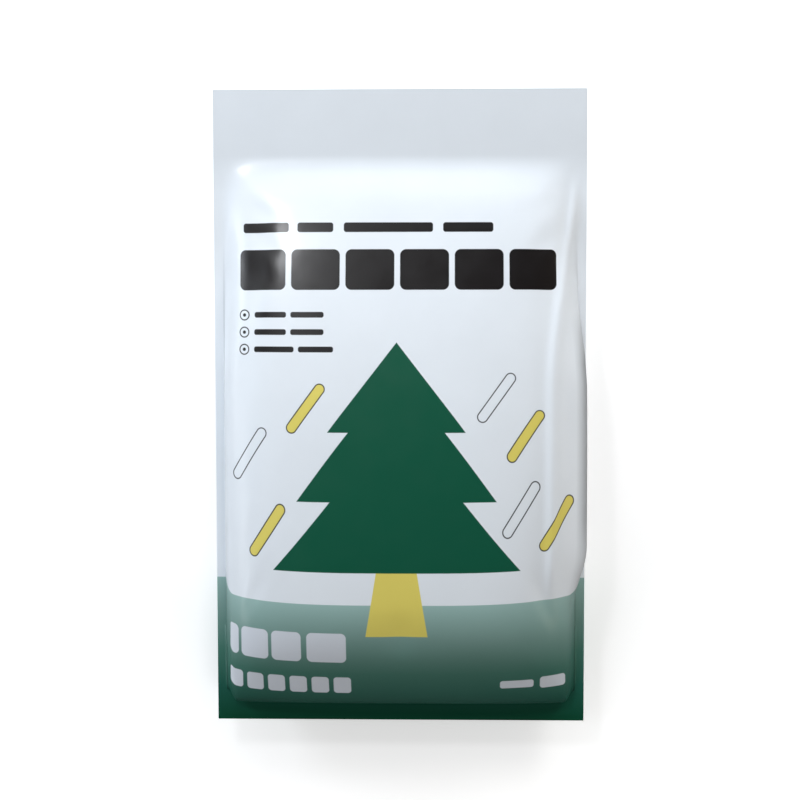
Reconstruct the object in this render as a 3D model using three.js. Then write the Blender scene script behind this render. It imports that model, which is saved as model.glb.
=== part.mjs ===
// Cat litter bag: a film pouch filled with wood pellets and sealed flat all round, lying on its back.
// Millimetres, +Z up. The printed front faces +Z, +Y points to the bag's head and +X to its right.

import * as THREE from "three";
import { mergeVertices } from "three/addons/utils/BufferGeometryUtils.js";

// The film laid flat, and the bands of it that hold no pellets.
const FILM_WIDTH = 430;
const FILM_LENGTH = 735;
const SIDE_SEAL = 10;
const FOOT_SEAL = 35;
const HEADER = 74;
const FILM_PAIR = 0.4; // front and back film pressed together

// The filling, measured from the plane of the seals.
const SEAL_HEIGHT = 54; // from the floor up to the seals, which is also the depth of the back
const FRONT_RISE = 74;
const BACK_FULLNESS = 1.6; // how far past the floor the back would swell if nothing held it
const SIDE_ROUNDNESS = 2.6; // exponent of the cross-section, 2 being an ellipse
const FOOT_RUN = 115; // from the foot seam up to the crest
const HEAD_RUN = 494; // from the head seam down to the crest

// Facets across and along the bag, the sealed bands included.
const COLUMNS = 30;
const ROWS = 44;
const HEADER_ROWS = 2;

const halfPouch = FILM_WIDTH / 2 - SIDE_SEAL;
const pouchFoot = -FILM_LENGTH / 2 + FOOT_SEAL;
const pouchHead = FILM_LENGTH / 2 - HEADER;

/** Places from low to high that crowd towards both ends, where the filling curves most. */
function crowdedPlaces(low, high, cells) {
  const middle = (low + high) / 2;
  const reach = (high - low) / 2;
  return Array.from({ length: cells + 1 }, (_, i) => {
    return middle - reach * Math.cos((Math.PI * i) / cells);
  });
}

/** The X of every line of vertices that runs along the bag. */
function columnPlaces() {
  const pouch = crowdedPlaces(-halfPouch, halfPouch, COLUMNS - 2);
  return [-FILM_WIDTH / 2, ...pouch, FILM_WIDTH / 2];
}

/** The Y of every line of vertices that runs across the bag. */
function rowPlaces() {
  const pouch = crowdedPlaces(pouchFoot, pouchHead, ROWS - HEADER_ROWS - 1);
  const header = Array.from({ length: HEADER_ROWS }, (_, i) => {
    return pouchHead + (HEADER * (i + 1)) / HEADER_ROWS;
  });
  return [-FILM_LENGTH / 2, ...pouch, ...header];
}

/** Rounds off an end: 0 at the seam, 1 once the distance from the seam reaches run. */
function endRound(distance, run, exponent) {
  const left = 1 - Math.min(Math.max(distance / run, 0), 1);
  return Math.pow(1 - left * left, exponent);
}

/** How full the pouch is at (x, y), from 0 on the seals to 1 along its crest. */
function fullness(x, y) {
  const across = Math.min(Math.abs(x) / halfPouch, 1);
  const section = Math.pow(1 - Math.pow(across, SIDE_ROUNDNESS), 1 / SIDE_ROUNDNESS);
  const foot = endRound(y - pouchFoot, FOOT_RUN, 0.5);
  const head = endRound(pouchHead - y, HEAD_RUN, 1);
  return section * foot * head;
}

/** Height of the printed front above the floor. */
function frontHeight(x, y) {
  return SEAL_HEIGHT + FILM_PAIR / 2 + (FRONT_RISE - FILM_PAIR / 2) * fullness(x, y);
}

/** Height of the back above the floor, which presses its middle flat. */
function backHeight(x, y) {
  return Math.max(0, SEAL_HEIGHT - FILM_PAIR / 2 - SEAL_HEIGHT * BACK_FULLNESS * fullness(x, y));
}

/** The filled bag as one closed skin: a divided box, each vertex moved to its place. */
function bagGeometry() {
  const box = new THREE.BoxGeometry(COLUMNS, ROWS, 2, COLUMNS, ROWS, 1);
  box.deleteAttribute("normal");
  box.deleteAttribute("uv");
  const skin = mergeVertices(box);
  const columns = columnPlaces();
  const rows = rowPlaces();
  const place = skin.getAttribute("position");
  for (let i = 0; i < place.count; i += 1) {
    const x = columns[Math.round(place.getX(i) + COLUMNS / 2)];
    const y = rows[Math.round(place.getY(i) + ROWS / 2)];
    const z = place.getZ(i) > 0 ? frontHeight(x, y) : backHeight(x, y);
    place.setXYZ(i, x, y, z);
  }
  skin.computeVertexNormals();
  return skin;
}

const printedFilm = new THREE.MeshStandardMaterial({ color: 0xdde6ee, roughness: 0.38, metalness: 0 });

const litterBag = new THREE.Mesh(bagGeometry(), printedFilm);
litterBag.name = "litter_bag";

const catLitterBag = new THREE.Group();
catLitterBag.add(litterBag);

export default catLitterBag;
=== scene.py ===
"""A sealed film bag of wood-pellet cat litter, lying on its back in a plain studio.

The bag is one padded piece. Its two films are divided sheets, swollen over the filling, settled as
cloth under pressure with their seals held, and closed along the rim. The print is drawn by shader
nodes in the film's own flat coordinates, so that it bends with the film as a real print does.
"""

import logging
import math
from dataclasses import dataclass
from enum import Enum

import bpy
import numpy as np
from mathutils import Euler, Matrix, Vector


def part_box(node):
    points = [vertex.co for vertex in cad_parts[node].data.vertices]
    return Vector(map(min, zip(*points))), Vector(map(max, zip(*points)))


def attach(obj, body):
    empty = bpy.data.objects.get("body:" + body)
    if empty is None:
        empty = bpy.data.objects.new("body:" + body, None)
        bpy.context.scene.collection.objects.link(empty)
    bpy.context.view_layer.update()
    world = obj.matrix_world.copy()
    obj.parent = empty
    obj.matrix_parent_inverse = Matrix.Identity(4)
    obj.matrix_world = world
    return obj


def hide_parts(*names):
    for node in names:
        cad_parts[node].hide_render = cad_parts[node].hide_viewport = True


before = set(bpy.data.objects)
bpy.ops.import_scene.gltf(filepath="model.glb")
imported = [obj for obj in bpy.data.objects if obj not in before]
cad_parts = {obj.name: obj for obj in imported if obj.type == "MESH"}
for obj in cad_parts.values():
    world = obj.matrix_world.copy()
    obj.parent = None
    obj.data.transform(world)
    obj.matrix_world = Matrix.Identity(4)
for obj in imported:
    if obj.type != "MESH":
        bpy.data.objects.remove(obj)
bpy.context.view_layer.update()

MM = 0.001
NOISE_RANGE = (0.3, 0.7)
LOG = logging.getLogger("litter_bag")

Colour = tuple[float, float, float]
Socket = bpy.types.NodeSocket


class Side(Enum):
    """The two films of the bag, each with the place of its centre line on the film map."""

    FRONT = 0.0
    BACK = 1.0


class MapName(Enum):
    """The bag's two UV maps."""

    FILM = "film"
    BAKE = "OFBake"


def smooth_step(share: np.ndarray) -> np.ndarray:
    """Eases a share from 0 to 1 with level ends."""
    held = np.clip(share, 0, 1)
    return held * held * (3 - 2 * held)


# ---------------------------------------------------------------------------------------------
# The pouch
# ---------------------------------------------------------------------------------------------


@dataclass(frozen=True)
class Division:
    """How finely the films are divided, the sealed bands included."""

    columns: int = 140
    rows: int = 232
    seal_columns: int = 4
    foot_rows: int = 8
    header_rows: int = 16
    crowding: float = 0.5

    def crowded(self, low: float, high: float, cells: int) -> np.ndarray:
        """Places from low to high that crowd towards both ends, where the film curves most.

        Args:
            low: First place.
            high: Last place.
            cells: How many gaps there are.

        Returns:
            The places in order.
        """
        even = np.linspace(-1, 1, cells + 1)
        curved = np.sin(even * np.pi / 2)
        return (low + high) / 2 + (high - low) / 2 * (even + (curved - even) * self.crowding)


@dataclass(frozen=True)
class Bulges:
    """How far the full walls swell out over the seals, which the filling's weight causes.

    Attributes:
        left: The most on the left.
        right: The most on the right, where the wall hides the seal.
        foot: The most at the foot.
        gap: How far inside the seam a wall swells most.
        top: Y from which the side walls swell.
        over: The length that it takes them to reach their most.
        clear: How far above the foot seam the side bulges start.
        fade: The length that it takes them to grow from there.
        corner: The length over which the foot's bulge fades towards the sides.
    """

    left: float = 2 * MM
    right: float = 17 * MM
    foot: float = 17 * MM
    gap: float = 8 * MM
    top: float = 190 * MM
    over: float = 170 * MM
    clear: float = 100 * MM
    fade: float = 75 * MM
    corner: float = 14 * MM

    def swell(self, gap: np.ndarray) -> np.ndarray:
        """A share that rises from 0 at the seam to 1 at the fullest part and fades beyond it."""
        near = gap / self.gap
        return near * np.exp(1 - near)


@dataclass(frozen=True)
class Ridge:
    """A soft fold in the front film that runs down beside the right seam.

    Attributes:
        near: X where the fold starts, by the head.
        far: X where it ends up.
        top: Y of its start.
        bend: Y from which it runs straight down.
        foot: Y where it has faded out.
        fade: The length over which it fades at both ends.
    """

    near: float = 202 * MM
    far: float = 172 * MM
    top: float = 275 * MM
    bend: float = 20 * MM
    foot: float = -230 * MM
    fade: float = 60 * MM
    rise: float = 4.5 * MM
    width: float = 6 * MM

    def height(self, x: np.ndarray, y: np.ndarray) -> np.ndarray:
        """How far the fold stands out of the film.

        Args:
            x: Places across the bag.
            y: Places along the bag.

        Returns:
            One height for each place.
        """
        middle = self.far + (self.near - self.far) * smooth_step((y - self.bend) / (self.top - self.bend))
        shown = smooth_step((self.top - y) / self.fade) * smooth_step((y - self.foot) / self.fade)
        return self.rise * shown * np.exp(-(((x - middle) / self.width) ** 2))


@dataclass
class Pouch:
    """The filled pouch: its seals, its swelling and the films that follow them.

    Attributes:
        low: Lowest corner of the bag's box.
        high: Highest corner of the bag's box.
        tight_fillet: How close to its seams the film rounds out at the foot.
        soft_fillet: The same at the head.
        soft_from: Y from which the fillet grows towards the head.
        drawn_in: Share of the film's extra length along the bag that shows at the foot.
        drawn_from: Distance from the foot edge where that share starts to fade.
        drawn_over: The length over which it fades.
    """

    low: Vector
    high: Vector
    side_seal: float = 10 * MM
    foot_seal: float = 35 * MM
    header: float = 74 * MM
    film_pair: float = 0.4 * MM
    seal_height: float = 54 * MM
    back_fullness: float = 1.6
    side_roundness: float = 3.0
    foot_run: float = 115 * MM
    head_run: float = 494 * MM
    tight_fillet: float = 4 * MM
    soft_fillet: float = 20 * MM
    soft_from: float = -40 * MM
    drawn_in: float = 0.367
    drawn_from: float = 165 * MM
    drawn_over: float = 200 * MM
    sharp_angle: float = 70.0
    division: Division = Division()
    bulges: Bulges = Bulges()
    ridge: Ridge = Ridge()

    @property
    def half_pouch(self) -> float:
        """Half the width between the side seals."""
        return (self.high.x - self.low.x) / 2 - self.side_seal

    @property
    def foot_seam(self) -> float:
        """Y of the line where the filling meets the foot seal."""
        return self.low.y + self.foot_seal

    @property
    def head_seam(self) -> float:
        """Y of the line where the filling meets the header."""
        return self.high.y - self.header

    @property
    def front_rise(self) -> float:
        """How far the front stands above the seals."""
        return self.high.z - self.seal_height

    def gaps(self, x: np.ndarray, y: np.ndarray) -> list[np.ndarray]:
        """Distances inside the side, foot and head seams, zero on the seals.

        Args:
            x: Places across the bag.
            y: Places along the bag.

        Returns:
            One array of distances for the sides, one for the foot and one for the head.
        """
        found = (self.half_pouch - np.abs(x), y - self.foot_seam, self.head_seam - y)
        return [np.clip(gap, 0, None) for gap in found]

    def fullness(self, x: np.ndarray, y: np.ndarray) -> np.ndarray:
        """How full the pouch is, from 0 on the seals to 1 along its crest.

        Args:
            x: Places across the bag.
            y: Places along the bag.

        Returns:
            One share for each place.
        """
        across = np.clip(np.abs(x) / self.half_pouch, 0, 1)
        section = (1 - across**self.side_roundness) ** (1 / self.side_roundness)
        foot = 1 - np.clip((y - self.foot_seam) / self.foot_run, 0, 1)
        head = 1 - np.clip((self.head_seam - y) / self.head_run, 0, 1)
        return section * (1 - foot**2) ** 0.5 * (1 - head**2)

    def lift(self, x: np.ndarray, y: np.ndarray) -> np.ndarray:
        """How far the film has rounded out of its seams, tightly at the foot and softly at the head.

        Args:
            x: Places across the bag.
            y: Places along the bag.

        Returns:
            One share for each place, from 0 on the seams to 1 away from them.
        """
        soft = smooth_step((y - self.soft_from) / (self.head_seam - self.soft_from))
        fillet = self.tight_fillet + (self.soft_fillet - self.tight_fillet) * soft
        lifted = np.ones_like(x)
        for gap in self.gaps(x, y):
            lifted *= 1 - np.exp(-((gap / fillet) ** 1.5))
        return lifted

    def height(self, x: np.ndarray, y: np.ndarray, side: Side) -> np.ndarray:
        """Height of one film above the floor.

        Args:
            x: Places across the bag.
            y: Places along the bag.
            side: Which film.

        Returns:
            One height for each place.
        """
        full = self.fullness(x, y) * self.lift(x, y)
        skin = self.film_pair / 2
        if side is Side.FRONT:
            return self.seal_height + skin + (self.front_rise - skin) * full
        return np.maximum(0, self.seal_height - skin - self.seal_height * self.back_fullness * full)

    def swollen(self, x: np.ndarray, y: np.ndarray) -> list[np.ndarray]:
        """Where the full walls carry each place, over the seals beside them.

        Args:
            x: Places across the bag.
            y: Places along the bag.

        Returns:
            The moved places across and along the bag.
        """
        sides, foot, _ = self.gaps(x, y)
        most = self.bulges
        beside = np.where(x > 0, most.right, -most.left) * most.swell(sides)
        beside *= smooth_step((most.top - y) / most.over) * smooth_step((foot - most.clear) / most.fade)
        below = -most.foot * most.swell(foot) * smooth_step(sides / most.corner)
        return [x + beside, y + below]

    def column_places(self) -> np.ndarray:
        """X of every line of vertices that runs along the bag."""
        cut = self.division
        seal = np.linspace(self.low.x, -self.half_pouch, cut.seal_columns + 1)[:-1]
        cells = cut.columns - 2 * cut.seal_columns
        return np.concatenate([seal, cut.crowded(-self.half_pouch, self.half_pouch, cells), -seal[::-1]])

    def row_places(self) -> np.ndarray:
        """Y of every line of vertices that runs across the bag."""
        cut = self.division
        foot = np.linspace(self.low.y, self.foot_seam, cut.foot_rows + 1)[:-1]
        head = np.linspace(self.head_seam, self.high.y, cut.header_rows + 1)[1:]
        cells = cut.rows - cut.foot_rows - cut.header_rows
        return np.concatenate([foot, cut.crowded(self.foot_seam, self.head_seam, cells), head])

    def flat_places(self, xs: np.ndarray, ys: np.ndarray, zs: np.ndarray) -> list[np.ndarray]:
        """Where each vertex lies on the film laid flat.

        The film follows its own length across the bag. Along the bag the pouch draws in where its
        foot is full, so only a part of the extra length shows there.

        Args:
            xs: X of each row and column.
            ys: Y of each row and column.
            zs: Z of each row and column.

        Returns:
            The distances from the centre line and from the foot edge.
        """
        stepped = np.hypot(np.diff(xs, axis=1), np.diff(zs, axis=1))
        across = np.pad(np.cumsum(stepped, axis=1), ((0, 0), (1, 0)))
        across -= across[:, self.division.columns // 2][:, None]
        stepped = np.hypot(np.diff(ys, axis=0), np.diff(zs, axis=0))
        along = np.pad(np.cumsum(stepped, axis=0), ((1, 0), (0, 0)))
        flat = ys - self.low.y
        shown = self.drawn_in * (1 - smooth_step((flat - self.drawn_from) / self.drawn_over))
        return [across, flat + (along - flat) * shown]

    def sheet(self, side: Side) -> bpy.types.Object:
        """One film as a divided grid, moved to its swollen place.

        Args:
            side: Which film.

        Returns:
            The film, with its faces outwards, its flat places and its distances inside the seams.
        """
        columns, rows = self.division.columns, self.division.rows
        bpy.ops.object.select_all(action="DESELECT")
        bpy.ops.mesh.primitive_grid_add(x_subdivisions=columns, y_subdivisions=rows, size=1)
        film = bpy.context.object
        grid = read_vectors(film.data.vertices, "co", 3)
        column = np.rint((grid[:, 0] + 0.5) * columns).astype(int)
        row = np.rint((grid[:, 1] + 0.5) * rows).astype(int)
        xs, ys = np.meshgrid(self.column_places(), self.row_places())
        zs = self.height(xs, ys, side)
        inside = np.minimum.reduce(self.gaps(xs, ys))
        if side is Side.FRONT:
            zs += self.ridge.height(xs, ys)
        xs, ys = self.swollen(xs, ys)
        across, along = self.flat_places(xs, ys, zs)
        placed = np.stack([xs[row, column], ys[row, column], zs[row, column]], axis=1)
        film.data.vertices.foreach_set("co", placed.ravel())
        told = film.data.attributes.new("film_place", "FLOAT2", "POINT")
        flat = np.stack([across[row, column] + side.value, along[row, column]], axis=1)
        told.data.foreach_set("vector", flat.ravel())
        told = film.data.attributes.new("inside", "FLOAT", "POINT")
        told.data.foreach_set("value", inside[row, column])
        if side is Side.BACK:
            bpy.ops.object.mode_set(mode="EDIT")
            bpy.ops.mesh.select_all(action="SELECT")
            bpy.ops.mesh.flip_normals()
            bpy.ops.object.mode_set(mode="OBJECT")
        return film

    def build(self) -> bpy.types.Object:
        """The two films closed along their rim.

        Returns:
            One mesh object at the origin.
        """
        back = self.sheet(Side.BACK)
        film = self.sheet(Side.FRONT)
        back.select_set(True)
        film.select_set(True)
        bpy.context.view_layer.objects.active = film
        bpy.ops.object.join()
        film.name = film.data.name = "film_bag"
        bpy.ops.object.mode_set(mode="EDIT")
        bpy.ops.mesh.select_all(action="DESELECT")
        bpy.ops.mesh.select_mode(type="EDGE")
        bpy.ops.mesh.select_non_manifold()
        bpy.ops.mesh.bridge_edge_loops()
        bpy.ops.object.mode_set(mode="OBJECT")
        bpy.ops.object.shade_smooth_by_angle(angle=math.radians(self.sharp_angle))
        return film


def read_vectors(items: bpy.types.bpy_prop_collection, name: str, size: int) -> np.ndarray:
    """Reads one vector property of every item.

    Args:
        items: Vertices, or an attribute's data.
        name: The property.
        size: How many numbers each vector has.

    Returns:
        One row for each item.
    """
    found = np.empty(len(items) * size)
    items.foreach_get(name, found)
    return found.reshape(-1, size)


@dataclass
class Settling:
    """Cloth simulation that lets the film take its own folds over the filling.

    Attributes:
        slack: How much larger the film is than the swollen form, as a share.
        pressure: The filling's push on the film.
        most: The furthest that a point of film may move.
        evenings: How often each movement is evened out with those around it.
        let_go: Distance from the seams over which the film becomes free.
        held_within: Distance inside the seams where the film is still held fast.
    """

    slack: float = 0.003
    pressure: float = 4.0
    frames: int = 16
    most: float = 2.5 * MM
    evenings: int = 12
    let_go: float = 60 * MM
    held_within: float = 0.1 * MM
    stiffness: float = 30.0
    shear: float = 10.0
    bending: float = 8.0
    weight: float = 0.2

    def run(self, film: bpy.types.Object) -> None:
        """Settles the film with its seals held.

        Args:
            film: The closed pouch, with each vertex's distance inside the seams.
        """
        start = read_vectors(film.data.vertices, "co", 3)
        inside = read_vectors(film.data.attributes["inside"].data, "value", 1)[:, 0]
        held = film.vertex_groups.new(name="seals")
        held.add(np.flatnonzero(inside < self.held_within).tolist(), 1.0, "REPLACE")
        self.dress(film, held.name)
        for number in range(1, self.frames + 1):
            bpy.context.scene.frame_set(number)
        bpy.ops.object.select_all(action="DESELECT")
        bpy.context.view_layer.objects.active = film
        bpy.ops.object.modifier_apply(modifier="settle")
        moved = read_vectors(film.data.vertices, "co", 3) - start
        far = np.linalg.norm(moved, axis=1, keepdims=True)
        LOG.info("settling moves the film by up to %.1f mm", far.max() / MM)
        kept = self.most * np.tanh(far / self.most) / np.maximum(far, 0.001 * MM)
        free = smooth_step(inside / self.let_go)[:, None]
        settled = start + free * self.evened(film, moved * kept)
        settled[:, 2] = np.clip(settled[:, 2], 0, None)
        film.data.vertices.foreach_set("co", settled.ravel())

    def evened(self, film: bpy.types.Object, moved: np.ndarray) -> np.ndarray:
        """Evens out the movement, so that its broad folds stay and its small ones fade.

        Args:
            film: The closed pouch.
            moved: How far each vertex moves.

        Returns:
            The evened movement.
        """
        ends = np.empty(2 * len(film.data.edges), dtype=int)
        film.data.edges.foreach_get("vertices", ends)
        here = np.concatenate([ends[::2], ends[1::2]])
        there = np.concatenate([ends[1::2], ends[::2]])
        count = np.bincount(here, minlength=len(moved))[:, None]
        for _ in range(self.evenings):
            around = [np.bincount(here, part, len(moved)) for part in moved[there].T]
            moved = (moved + np.stack(around, axis=1) / count) / 2
        return moved

    def dress(self, film: bpy.types.Object, held: str) -> None:
        """Gives the film its cloth modifier.

        Args:
            film: The closed pouch.
            held: The vertex group that stays in place.
        """
        cloth = film.modifiers.new("settle", "CLOTH")
        settings = cloth.settings
        settings.vertex_group_mass = held
        settings.quality = 4
        settings.mass = self.weight
        settings.tension_stiffness = self.stiffness
        settings.compression_stiffness = self.stiffness
        settings.shear_stiffness = self.shear
        settings.bending_stiffness = self.bending
        settings.shrink_min = -self.slack
        settings.use_pressure = True
        settings.uniform_pressure_force = self.pressure
        settings.effector_weights.gravity = 0
        cloth.collision_settings.use_collision = False


@dataclass
class FilmMaps:
    """The UV maps: flat film places in metres, and a layout of both films on one square.

    Attributes:
        length: Length of the film.
        reach: Half the width that each film takes on the square, in metres of film.
    """

    length: float
    reach: float = 250 * MM
    margin: float = 0.01
    front_share: float = 0.66
    back_share: float = 0.30

    def build(self, film: bpy.types.Object) -> None:
        """Adds both maps, with the rim's faces on the front film.

        Args:
            film: The closed pouch.
        """
        mesh = film.data
        flat = self.corner_places(mesh)
        self.write(mesh, MapName.FILM, flat)
        on_back = flat[:, 0] > Side.BACK.value / 2
        across = flat[:, 0] - np.where(on_back, Side.BACK.value, Side.FRONT.value)
        across = np.clip(0.5 + across / (2 * self.reach), 0, 1)
        left = np.where(on_back, 2 * self.margin + self.front_share, self.margin)
        wide = np.where(on_back, self.back_share, self.front_share)
        high = self.margin + (1 - 2 * self.margin) * flat[:, 1] / self.length
        self.write(mesh, MapName.BAKE, np.stack([left + across * wide, high], axis=1))

    def corner_places(self, mesh: bpy.types.Mesh) -> np.ndarray:
        """The flat place of every face corner.

        Args:
            mesh: The closed pouch's mesh.

        Returns:
            One row for each corner, the rim's taken from the front film.
        """
        told = read_vectors(mesh.attributes["film_place"].data, "vector", 2)
        corner = np.empty(len(mesh.loops), dtype=int)
        mesh.loops.foreach_get("vertex_index", corner)
        corners = np.empty(len(mesh.polygons), dtype=int)
        mesh.polygons.foreach_get("loop_total", corners)
        face = np.repeat(np.arange(len(corners)), corners)
        flat = told[corner]
        on_back = flat[:, 0] > Side.BACK.value / 2
        meets_front = np.bincount(face, ~on_back) > 0
        flat[on_back & meets_front[face], 0] -= Side.BACK.value
        return flat

    def write(self, mesh: bpy.types.Mesh, name: MapName, places: np.ndarray) -> None:
        """Adds one UV map."""
        mesh.uv_layers.new(name=name.value).uv.foreach_set("vector", places.ravel())


# ---------------------------------------------------------------------------------------------
# Shader arithmetic
# ---------------------------------------------------------------------------------------------


class Graph:
    """Adds shader nodes to one material and links them."""

    def __init__(self, tree: bpy.types.NodeTree) -> None:
        """Keeps the tree to draw in.

        Args:
            tree: The material's node tree.
        """
        self.tree = tree

    def node(self, kind: str, **settings: object) -> bpy.types.Node:
        """A new node.

        Args:
            kind: The node's type, without its ShaderNode prefix.
            settings: Properties to set on it.

        Returns:
            The node.
        """
        made = self.tree.nodes.new(f"ShaderNode{kind}")
        for name, value in settings.items():
            setattr(made, name, value)
        return made

    def feed(self, target: Socket, value: object) -> None:
        """Links a socket to another, or sets it to a value.

        Args:
            target: The input to fill.
            value: An output socket, a number or a tuple.
        """
        if isinstance(value, bpy.types.NodeSocket):
            self.tree.links.new(value, target)
        else:
            target.default_value = value

    def math(self, operation: str, *values: object, clamp: bool = False) -> Socket:
        """One step of arithmetic.

        Args:
            operation: The Math node's operation.
            values: Its inputs.
            clamp: Whether the result is held between 0 and 1.

        Returns:
            The result.
        """
        made = self.node("Math", operation=operation, use_clamp=clamp)
        for target, value in zip(made.inputs, values):
            self.feed(target, value)
        return made.outputs[0]

    def vector(self, operation: str, *values: object) -> Socket:
        """One step of vector arithmetic.

        Args:
            operation: The Vector Math node's operation.
            values: Its inputs; a scale goes last.

        Returns:
            The resulting vector, or number where the operation gives one.
        """
        made = self.node("VectorMath", operation=operation)
        targets = [made.inputs[0], made.inputs["Scale"]] if operation == "SCALE" else made.inputs
        for target, value in zip(targets, values):
            self.feed(target, value)
        return made.outputs["Value" if operation in ("LENGTH", "DOT_PRODUCT") else "Vector"]

    def remap(self, value: Socket, low: float, high: float, to: tuple[float, float] = (0, 1)) -> Socket:
        """Moves a range of numbers to another, held at both ends.

        Args:
            value: The number.
            low: Where the range starts.
            high: Where it ends.
            to: What its two ends become.

        Returns:
            The moved number.
        """
        made = self.node("MapRange")
        for target, given in zip(made.inputs, (value, low, high, *to)):
            self.feed(target, given)
        return made.outputs[0]

    def least(self, values: list[Socket]) -> Socket:
        """The smallest of several numbers."""
        found = values[0]
        for value in values[1:]:
            found = self.math("MINIMUM", found, value)
        return found

    def mix(self, share: object, under: object, over: object, blend: str = "MIX") -> Socket:
        """Lays one colour over another.

        Args:
            share: How much of the upper colour shows.
            under: The lower colour.
            over: The upper colour.
            blend: How they are joined.

        Returns:
            The colour seen.
        """
        made = self.node("Mix", data_type="RGBA", blend_type=blend)
        for name, value in (("Factor_Float", share), ("A_Color", under), ("B_Color", over)):
            target = next(s for s in made.inputs if s.identifier == name)
            self.feed(target, (*value, 1.0) if isinstance(value, tuple) else value)
        return next(s for s in made.outputs if s.identifier == "Result_Color")

    def noise(self, place: Socket, size: float, detail: float = 2.0) -> Socket:
        """Soft noise whose blots are about one size across.

        Args:
            place: Where it is read, in the unit of size.
            size: The blots' size.
            detail: How many finer layers it has.

        Returns:
            A number around one half.
        """
        made = self.node("TexNoise")
        self.feed(made.inputs["Vector"], place)
        self.feed(made.inputs["Scale"], 1 / size)
        self.feed(made.inputs["Detail"], detail)
        return made.outputs[0]


# ---------------------------------------------------------------------------------------------
# The print's shapes, in millimetres on the film laid flat: u runs right from the centre line and
# v up from the foot edge
# ---------------------------------------------------------------------------------------------


@dataclass(frozen=True)
class Place:
    """A point of the film as shader sockets: its vector, and its two parts."""

    whole: Socket
    u: Socket
    v: Socket


@dataclass(frozen=True)
class Bar:
    """A block with rounded corners, named by its middle."""

    u: float
    v: float
    width: float
    height: float
    radius: float

    def distance(self, graph: Graph, place: Place) -> Socket:
        """Distance outside the block, negative inside.

        Args:
            graph: Where the nodes go.
            place: The point of film.

        Returns:
            The distance in millimetres.
        """
        inner = (self.width / 2 - self.radius, self.height / 2 - self.radius, 0)
        away = graph.vector("ABSOLUTE", graph.vector("SUBTRACT", place.whole, (self.u, self.v, 0)))
        away = graph.vector("MAXIMUM", graph.vector("SUBTRACT", away, inner), (0, 0, 0))
        return graph.math("SUBTRACT", graph.vector("LENGTH", away), self.radius)


@dataclass(frozen=True)
class Ring:
    """A thin circle with a dot in it."""

    u: float
    v: float
    radius: float = 5.6
    line: float = 0.7
    dot: float = 2.0

    def distance(self, graph: Graph, place: Place) -> Socket:
        """Distance outside the circle's line or the dot, negative inside.

        Args:
            graph: Where the nodes go.
            place: The point of film.

        Returns:
            The distance in millimetres.
        """
        away = graph.vector("LENGTH", graph.vector("SUBTRACT", place.whole, (self.u, self.v, 0)))
        circle = graph.math("ABSOLUTE", graph.math("SUBTRACT", away, self.radius))
        circle = graph.math("SUBTRACT", circle, self.line)
        return graph.math("MINIMUM", circle, graph.math("SUBTRACT", away, self.dot))


@dataclass(frozen=True)
class Pellet:
    """A short slanting rod with round ends, named by its lower end."""

    u: float
    v: float
    run: float = 31.5
    climb: float = 43.0
    radius: float = 6.4

    def distance(self, graph: Graph, place: Place) -> Socket:
        """Distance outside the rod, negative inside.

        Args:
            graph: Where the nodes go.
            place: The point of film.

        Returns:
            The distance in millimetres.
        """
        axis = (self.run, self.climb, 0)
        away = graph.vector("SUBTRACT", place.whole, (self.u, self.v, 0))
        along = graph.vector("DOT_PRODUCT", away, axis)
        part = graph.math("DIVIDE", along, self.run**2 + self.climb**2, clamp=True)
        away = graph.vector("SUBTRACT", away, graph.vector("SCALE", axis, part))
        return graph.math("SUBTRACT", graph.vector("LENGTH", away), self.radius)


@dataclass(frozen=True)
class Slice:
    """A straight-sided slice of the tree, the same on both sides of its centre line."""

    u: float
    low: float
    high: float
    low_half: float
    high_half: float

    def distance(self, graph: Graph, place: Place) -> Socket:
        """Distance outside the slice, negative inside.

        Args:
            graph: Where the nodes go.
            place: The point of film.

        Returns:
            The distance in millimetres.
        """
        lean = (self.high_half - self.low_half) / (self.high - self.low)
        beside = graph.math("ABSOLUTE", graph.math("SUBTRACT", place.u, self.u))
        half = graph.math("MULTIPLY_ADD", place.v, lean, self.low_half - lean * self.low)
        side = graph.math("DIVIDE", graph.math("SUBTRACT", beside, half), math.hypot(1, lean))
        middle = graph.math("SUBTRACT", place.v, (self.low + self.high) / 2)
        ends = graph.math("SUBTRACT", graph.math("ABSOLUTE", middle), (self.high - self.low) / 2)
        return graph.math("MAXIMUM", side, ends)


Shape = Bar | Ring | Pellet | Slice


@dataclass(frozen=True)
class Inks:
    """The print's colours, as linear reflectances, the band's from the foot edge up."""

    film: Colour = (0.78, 0.82, 0.86)
    black: Colour = (0.009, 0.007, 0.007)
    outline: Colour = (0.035, 0.035, 0.040)
    pine: Colour = (0.006, 0.090, 0.049)
    straw: Colour = (0.74, 0.63, 0.14)
    pale: Colour = (0.70, 0.74, 0.80)
    band: tuple[Colour, ...] = (
        (0.002, 0.058, 0.027),
        (0.016, 0.102, 0.073),
        (0.063, 0.184, 0.143),
        (0.185, 0.315, 0.283),
        (0.315, 0.475, 0.445),
    )


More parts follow.
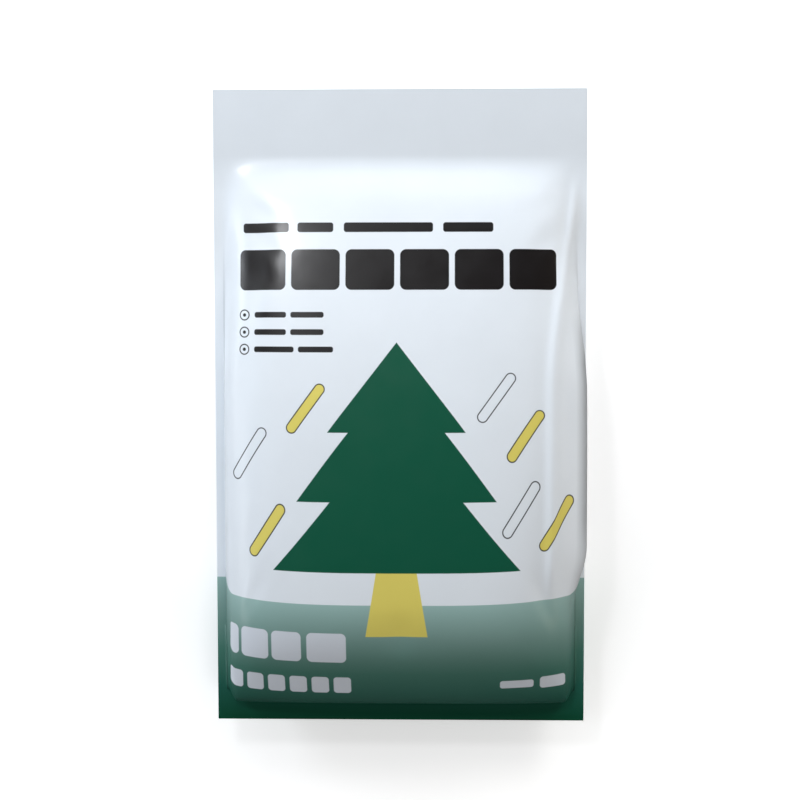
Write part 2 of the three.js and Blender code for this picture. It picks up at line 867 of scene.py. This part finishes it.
@dataclass(frozen=True)
class Layout:
    """Where each shape of the print lies on the front film."""

    centre: float = -2.5
    band_top: float = 169.5
    title_left: float = -184.5
    title_right: float = 180.5
    title_blocks: int = 6
    notes_left: float = -166.0

    def tree(self) -> list[Shape]:
        """The three tiers of the tree, which overlap."""
        return [
            Slice(self.centre, 345.5, 446, 78, 0),
            Slice(self.centre, 276, 355, 113, 46.6),
            Slice(self.centre, 205.5, 286, 140.5, 66),
        ]

    def trunk(self) -> list[Shape]:
        """The tree's trunk."""
        return [Slice(self.centre, 132.5, 212, 35.2, 22)]

    def heading(self) -> list[Shape]:
        """Thin bars over thick blocks, where a bag of this kind carries its heading."""
        spans = ((-180, -126), (-116, -75), (-63, 38.5), (50, 107))
        thin = [Bar((left + right) / 2, 576, right - left, 11, 3) for left, right in spans]
        gap = 6.5
        width = (self.title_right - self.title_left + gap) / self.title_blocks - gap
        middles = [self.title_left + width / 2 + (width + gap) * n for n in range(self.title_blocks)]
        return thin + [Bar(u, 528, width, 46, 7) for u in middles]

    def notes(self) -> list[Shape]:
        """Three short lines of small bars, each behind a ring."""
        shapes: list[Shape] = []
        for v, first, second in ((477, 38, 38), (457.5, 38, 38), (438, 47, 40)):
            gap = 5
            shapes.append(Ring(-178.5, v))
            shapes.append(Bar(self.notes_left + first / 2, v, first, 6.5, 2.5))
            shapes.append(Bar(self.notes_left + first + gap + second / 2, v, second, 6.5, 2.5))
        return shapes

    def footing(self) -> list[Shape]:
        """The pale blocks and bars on the band."""
        spans = ((-203.5, -188.5), (-184.5, -150), (-146, -111.5), (-105, -60))
        large = [Bar((left + right) / 2, 118, right - left, 36, 6) for left, right in spans]
        small = [Bar(-193 + 25.5 * n, 69, 20, 22, 4) for n in range(6)]
        right = [Bar(135, 69, 39, 10, 3), Bar(178, 69, 32, 15, 4)]
        return large + small + right

    def straw_pellets(self) -> list[Shape]:
        """The scattered pellets that are filled in."""
        return [Pellet(u, v) for u, v in ((-121, 350.5), (-166, 224), (128, 320.5), (166, 230))]

    def bare_pellets(self) -> list[Shape]:
        """The scattered pellets that are only outlined."""
        return [Pellet(u, v) for u, v in ((-188, 301), (94.5, 362.5), (123, 246))]


@dataclass(frozen=True)
class Softness:
    """How the film's surface takes light, and the painted light and shade on its seals, header and right
    wall.

    Attributes:
        cloud_size: Size of the faint clouds in the white ink.
        smear_size: Size of the duller patches.
        relief_foot: Distances from the foot edge where the pellets start to show, and do so fully.
        relief_head: The same towards the header.
        header_painted_shade: Painted shade: how much light the header's colour keeps beside the film that
            lies on the pellets.
        header_fade: Distances from the foot edge where that shade is full, and where it ends.
        seal_painted_light: Painted light: how much lighter the colour of the lower seals is made.
        seam_blend: Distance inside the seams over which that painted light ends.
        crease_painted_shade: Painted shade: how much light the colour keeps in the crease along the
            seams.
        crease_near: Distances inside the seams where the crease starts, and where it is full.
        crease_far: Distances inside the seams where the crease ends, and where it is full.
        crease_fade: Distances from the foot edge where both start, and where they are full.
        fold_painted_shade: Painted shade: how much light the colour keeps in a thin line along the right
            wall.
        fold_inside: How far inside the seam that line runs.
        fold_half: Half the line's width.
        wall_painted_shade: Painted shade: how much light the colour keeps on the right wall below that
            line.
        wall_low: Distances inside the seam where that shade starts, and where it is full.
        fold_head: Distances from the foot edge where that painted shade starts, and where it is full.
        fold_foot: Distances from the foot edge where that painted shade ends, and where it is full.
    """

    roughness: tuple[float, float] = (0.30, 0.38)
    refraction: float = 1.5
    coat: float = 0.25
    coat_roughness: float = 0.14
    clouding: float = 0.03
    cloud_size: float = 70.0
    smear_size: float = 26.0
    header_painted_shade: float = 0.88
    header_fade: tuple[float, float] = (659.0, 617.0)
    seal_painted_light: float = 1.15
    seam_blend: float = 0.4 * MM
    crease_painted_shade: float = 0.66
    crease_near: tuple[float, float] = (0.2 * MM, 0.8 * MM)
    crease_far: tuple[float, float] = (3.2 * MM, 1.4 * MM)
    crease_fade: tuple[float, float] = (560.0, 440.0)
    fold_painted_shade: float = 0.80
    fold_inside: float = 13.5 * MM
    fold_half: float = 1.0 * MM
    wall_painted_shade: float = 0.52
    wall_low: tuple[float, float] = (16.0 * MM, 9.0 * MM)
    fold_head: tuple[float, float] = (480.0, 420.0)
    fold_foot: tuple[float, float] = (150.0, 250.0)
    pellet_size: float = 7.0
    pellet_depth: float = 0.05
    relief_foot: tuple[float, float] = (35.0, 65.0)
    relief_head: tuple[float, float] = (647.0, 587.0)
    rib_pitch: float = 2.2
    rib_depth: float = 0.012


@dataclass(frozen=True)
class PrintedFilm:
    """The bag's finish: a satin laminate with a plain print under its surface, and painted light and
    shade on its seals, header and right wall.
    """

    inks: Inks = Inks()
    layout: Layout = Layout()
    softness: Softness = Softness()
    edge: float = 0.3
    line: float = 1.3

    def material(self) -> bpy.types.Material:
        """The film's material.

        Returns:
            A node material that reads the piece's own film map.
        """
        made = bpy.data.materials.new("printed_film")
        made.use_nodes = True
        graph = Graph(made.node_tree)
        shader = made.node_tree.nodes["Principled BSDF"]
        whole = graph.vector("SCALE", graph.node("UVMap", uv_map=MapName.FILM.value).outputs[0], 1 / MM)
        parts = graph.node("SeparateXYZ")
        graph.feed(parts.inputs[0], whole)
        place = Place(whole, parts.outputs[0], parts.outputs[1])
        soft = self.softness
        cloudy = graph.noise(whole, soft.cloud_size, 4)
        cloudy = graph.remap(cloudy, *NOISE_RANGE, (1 - soft.clouding, 1.0))
        # Painted shade: the header's colour is made darker.
        shaded_header = graph.remap(place.v, *soft.header_fade, (soft.header_painted_shade, 1.0))
        cloudy = graph.math("MULTIPLY", cloudy, shaded_header)
        # Painted light on the lower seals and painted shade in the crease along the seams.
        cloudy = graph.math("MULTIPLY", cloudy, self.crease(graph, place))
        # Painted shade on the right wall.
        cloudy = graph.math("MULTIPLY", cloudy, self.painted_right_wall_shade(graph, place))
        printed = graph.mix(1.0, self.printed(graph, place), cloudy, "MULTIPLY")
        graph.feed(shader.inputs["Base Color"], printed)
        smeared = graph.noise(whole, soft.smear_size, 5)
        graph.feed(shader.inputs["Roughness"], graph.remap(smeared, *NOISE_RANGE, soft.roughness))
        graph.feed(shader.inputs["Normal"], self.relief(graph, place))
        shader.inputs["IOR"].default_value = soft.refraction
        shader.inputs["Coat Weight"].default_value = soft.coat
        shader.inputs["Coat Roughness"].default_value = soft.coat_roughness
        return made

    def crease(self, graph: Graph, place: Place) -> Socket:
        """Painted light on the sealed bands, and a thin line of painted shade in the crease where the
        film meets its seams.

        Args:
            graph: Where the nodes go.
            place: The point of film.

        Returns:
            A share of light painted into the colour, above 1 on the side and foot seals and below 1 in
            the crease.
        """
        inside = graph.node("Attribute", attribute_name="inside").outputs["Fac"]
        soft = self.softness
        shown = graph.remap(place.v, *soft.crease_fade)
        # Painted shade: a thin darker line just inside the seams.
        near = graph.math("MULTIPLY", shown, graph.remap(inside, *soft.crease_near))
        near = graph.math("MULTIPLY", near, graph.remap(inside, *soft.crease_far))
        # Painted light: the colour of the side and foot seals is made lighter.
        sealed = graph.math("MULTIPLY", shown, graph.remap(inside, soft.seam_blend, 0.0))
        seals_painted_light = graph.math("MULTIPLY_ADD", sealed, soft.seal_painted_light - 1, 1.0)
        return graph.math("MULTIPLY_ADD", near, soft.crease_painted_shade - 1, seals_painted_light)

    def painted_right_wall_shade(self, graph: Graph, place: Place) -> Socket:
        """Painted shade: a thin grey line along the right wall, and a darker wall below it.

        Args:
            graph: Where the nodes go.
            place: The point of film.

        Returns:
            A share of light painted into the colour, below 1 in the line and under it.
        """
        soft = self.softness
        inside = graph.node("Attribute", attribute_name="inside").outputs["Fac"]
        # Painted shade: a thin grey line along the right wall, and a darker wall between it and the seam.
        away = graph.math("ABSOLUTE", graph.math("SUBTRACT", inside, soft.fold_inside))
        line = graph.remap(away, soft.fold_half, 0.0, (0.0, 1 - soft.fold_painted_shade))
        low = graph.remap(inside, *soft.wall_low, (0.0, 1 - soft.wall_painted_shade))
        low = graph.math("MULTIPLY", low, graph.remap(inside, *soft.crease_near))
        shown = graph.math("GREATER_THAN", place.u, 0.0)
        shown = graph.math("MULTIPLY", shown, graph.remap(place.v, *soft.fold_head))
        shown = graph.math("MULTIPLY", shown, graph.remap(place.v, *soft.fold_foot))
        lost = graph.math("MULTIPLY", graph.math("MAXIMUM", line, low), shown)
        return graph.math("SUBTRACT", 1.0, lost)

    def cover(self, graph: Graph, distance: Socket) -> Socket:
        """How much of a point a shape covers, from its distance outside the shape."""
        return graph.remap(distance, self.edge, -self.edge)

    def lay(self, graph: Graph, place: Place, seen: Socket, shapes: list[Shape], ink: Colour) -> Socket:
        """Prints shapes of one ink on the front film.

        Args:
            graph: Where the nodes go.
            place: The point of film.
            seen: The colour under the shapes.
            shapes: What is printed.
            ink: Its colour.

        Returns:
            The colour seen.
        """
        away = graph.least([shape.distance(graph, place) for shape in shapes])
        on_front = graph.math("LESS_THAN", place.u, Side.BACK.value / 2 / MM)
        return graph.mix(graph.math("MULTIPLY", self.cover(graph, away), on_front), seen, ink)

    def band(self, graph: Graph, place: Place) -> Socket:
        """The band's colour, which pales from the foot edge upwards.

        Args:
            graph: Where the nodes go.
            place: The point of film.

        Returns:
            The colour.
        """
        ramp = graph.node("ValToRGB")
        stops = ramp.color_ramp.elements
        while len(stops) < len(self.inks.band):
            stops.new(0.5)
        for number, (stop, ink) in enumerate(zip(stops, self.inks.band)):
            stop.position = number / (len(self.inks.band) - 1)
            stop.color = (*ink, 1)
        graph.feed(ramp.inputs[0], graph.math("DIVIDE", place.v, self.layout.band_top))
        return ramp.outputs[0]

    def printed(self, graph: Graph, place: Place) -> Socket:
        """The print's colour at each place.

        Args:
            graph: Where the nodes go.
            place: The point of film.

        Returns:
            The colour.
        """
        inks, layout = self.inks, self.layout
        above = graph.math("SUBTRACT", place.v, layout.band_top)
        seen = graph.mix(self.cover(graph, above), inks.film, self.band(graph, place))
        seen = self.lay(graph, place, seen, layout.trunk(), inks.straw)
        seen = self.lay(graph, place, seen, layout.tree(), inks.pine)
        seen = self.lay(graph, place, seen, layout.heading() + layout.notes(), inks.black)
        seen = self.lay(graph, place, seen, layout.footing(), inks.pale)
        for shapes, ink in ((layout.straw_pellets(), inks.straw), (layout.bare_pellets(), inks.film)):
            within = [Pellet(p.u, p.v, p.run, p.climb, p.radius - self.line) for p in shapes]
            seen = self.lay(graph, place, seen, shapes, inks.outline)
            seen = self.lay(graph, place, seen, within, ink)
        return seen

    def relief(self, graph: Graph, place: Place) -> Socket:
        """Pellets felt faintly through the film, and fine ribs in the sealed foot.

        Args:
            graph: Where the nodes go.
            place: The point of film.

        Returns:
            The surface's normal.
        """
        soft = self.softness
        lumps = graph.noise(place.whole, soft.pellet_size, 1)
        past_foot = graph.remap(place.v, *soft.relief_foot)
        before_head = graph.remap(place.v, *soft.relief_head)
        filled = graph.math("MULTIPLY", past_foot, before_head)
        lumps = graph.math("MULTIPLY", graph.math("MULTIPLY", lumps, filled), soft.pellet_depth)
        turn = graph.math("MULTIPLY", place.v, 2 * math.pi / soft.rib_pitch)
        ribs = graph.math("MULTIPLY", graph.math("SINE", turn), graph.math("SUBTRACT", 1.0, past_foot))
        height = graph.math("MULTIPLY_ADD", ribs, soft.rib_depth, lumps)
        bump = graph.node("Bump")
        bump.inputs["Distance"].default_value = MM
        graph.feed(bump.inputs["Height"], height)
        return bump.outputs[0]


# ---------------------------------------------------------------------------------------------
# Studio
# ---------------------------------------------------------------------------------------------


@dataclass(frozen=True)
class Softbox:
    """A rectangular studio light aimed at the bag.

    Attributes:
        azimuth: Degrees from +X towards +Y.
        elevation: Degrees above the floor.
        shines: Whether the film's gloss shows it, which a fill behind thick diffusion doesn't.
    """

    name: str
    azimuth: float
    elevation: float
    width: float
    height: float
    power: float
    tint: Colour = (1.0, 1.0, 1.0)
    shines: bool = True
    away: float = 2.2

    def build(self, target: Vector) -> None:
        """Hangs the light.

        Args:
            target: What it is aimed at.
        """
        data = bpy.data.lights.new(self.name, "AREA")
        data.shape = "RECTANGLE"
        data.size, data.size_y = self.width, self.height
        data.energy = self.power
        data.color = self.tint
        light = bpy.data.objects.new(self.name, data)
        light.visible_glossy = self.shines
        bpy.context.scene.collection.objects.link(light)
        turn = Euler((math.radians(90 - self.elevation), 0, math.radians(90 + self.azimuth)))
        light.location = target + turn.to_matrix() @ Vector((0, 0, self.away))
        light.rotation_euler = turn


@dataclass(frozen=True)
class PaleFloor:
    """The floor's finish: matt white paint that glows, as a lit sweep does, less round the bag.

    Attributes:
        glow: How much it glows near the bag and away from it.
        glow_reach: Distances from the bag's middle over which the glow grows.
    """

    paint: float = 0.86
    mottle: float = 0.02
    mottle_size: float = 0.4
    roughness: float = 0.85
    glow: tuple[float, float] = (0.42, 1.0)
    glow_reach: tuple[float, float] = (0.36, 0.85)

    def material(self) -> bpy.types.Material:
        """The floor's material.

        Returns:
            A node material on object coordinates.
        """
        made = bpy.data.materials.new("pale_floor")
        made.use_nodes = True
        graph = Graph(made.node_tree)
        shader = made.node_tree.nodes["Principled BSDF"]
        place = graph.node("TexCoord").outputs["Object"]
        mottled = graph.noise(place, self.mottle_size)
        paint = graph.remap(mottled, *NOISE_RANGE, (self.paint - self.mottle, self.paint))
        graph.feed(shader.inputs["Base Color"], paint)
        shader.inputs["Roughness"].default_value = self.roughness
        shader.inputs["Emission Color"].default_value = (1, 1, 1, 1)
        away = graph.vector("LENGTH", place)
        graph.feed(shader.inputs["Emission Strength"], graph.remap(away, *self.glow_reach, self.glow))
        return made


@dataclass
class Studio:
    """The floor, the lights and the camera.

    Attributes:
        target: The middle of the bag, at the height of its seals.
    """

    target: Vector
    floor_size: float = 60.0
    dome: float = 0.02
    dome_tint: Colour = (0.93, 0.96, 1.0)
    lens: float = 75.0
    camera_away: float = 1.936
    camera_turn: tuple[float, float, float] = (-4.2, 1.49, -0.085)
    camera_aim: Vector = Vector((0, 10 * MM, 0))

    def lights(self) -> list[Softbox]:
        """The softboxes."""
        cool, neutral = (0.85, 0.92, 1.0), (0.95, 0.97, 1.0)
        soft, warm = (1.0, 0.97, 0.93), (1.0, 0.78, 0.55)
        return [
            Softbox("head_strip", 90, 24, 2.4, 0.35, 32, cool),
            Softbox("head_right", 48, 32, 0.6, 0.6, 16.5, soft, shines=False),
            Softbox("head_left", 150, 20, 0.5, 0.5, 16.5, cool),
            Softbox("left_strip", 180, 22, 2.0, 0.3, 5.5, neutral),
            Softbox("left_fill", 180, 54, 0.7, 0.7, 5.0, cool, shines=False),
            Softbox("right_strip", 0, 30, 2.0, 0.18, 2, warm),
            Softbox("foot_fill", 290, 50, 0.7, 0.7, 8.0, soft, shines=False),
            Softbox("glint", 122, 54, 0.34, 0.28, 8, neutral),
        ]

    def build(self) -> None:
        """Sets the studio up."""
        bpy.ops.object.select_all(action="DESELECT")
        bpy.ops.mesh.primitive_plane_add(size=self.floor_size)
        floor = bpy.context.object
        floor.name = "studio_floor"
        floor.data.materials.append(PaleFloor().material())
        floor.visible_glossy = False
        for box in self.lights():
            box.build(self.target)
            LOG.info("light %s", box.name)
        bpy.context.scene.world = self.world()
        bpy.context.scene.view_settings.view_transform = "Standard"
        self.camera()

    def world(self) -> bpy.types.World:
        """The air round the studio: a faint light, behind which the background looks white."""
        made = bpy.data.worlds.new("dome")
        made.use_nodes = True
        graph = Graph(made.node_tree)
        sky = made.node_tree.nodes["Background"]
        sky.inputs["Color"].default_value = (*self.dome_tint, 1)
        seen = graph.node("LightPath").outputs["Is Camera Ray"]
        graph.feed(sky.inputs["Strength"], graph.math("MULTIPLY_ADD", seen, 1.0, self.dome))
        return made

    def camera(self) -> None:
        """Hangs the camera over the bag, a little towards its head."""
        eye = bpy.data.objects.new("camera", bpy.data.cameras.new("camera"))
        bpy.context.scene.collection.objects.link(eye)
        bpy.context.scene.camera = eye
        eye.data.lens = self.lens
        turn = Euler([math.radians(angle) for angle in self.camera_turn])
        eye.location = self.target + self.camera_aim + turn.to_matrix() @ Vector((0, 0, self.camera_away))
        eye.rotation_euler = turn


def main() -> None:
    """Builds the bag, dresses it and sets up the studio."""
    pouch = Pouch(*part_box("litter_bag"))
    film = pouch.build()
    Settling().run(film)
    FilmMaps(pouch.high.y - pouch.low.y).build(film)
    film.data.materials.append(PrintedFilm().material())
    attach(film, "root")
    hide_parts("litter_bag")
    LOG.info("%s: %d vertices", film.name, len(film.data.vertices))
    Studio(Vector((0, 0, pouch.seal_height))).build()


if __name__ == "__main__":
    logging.basicConfig(level=logging.INFO, format="%(message)s")
    main()
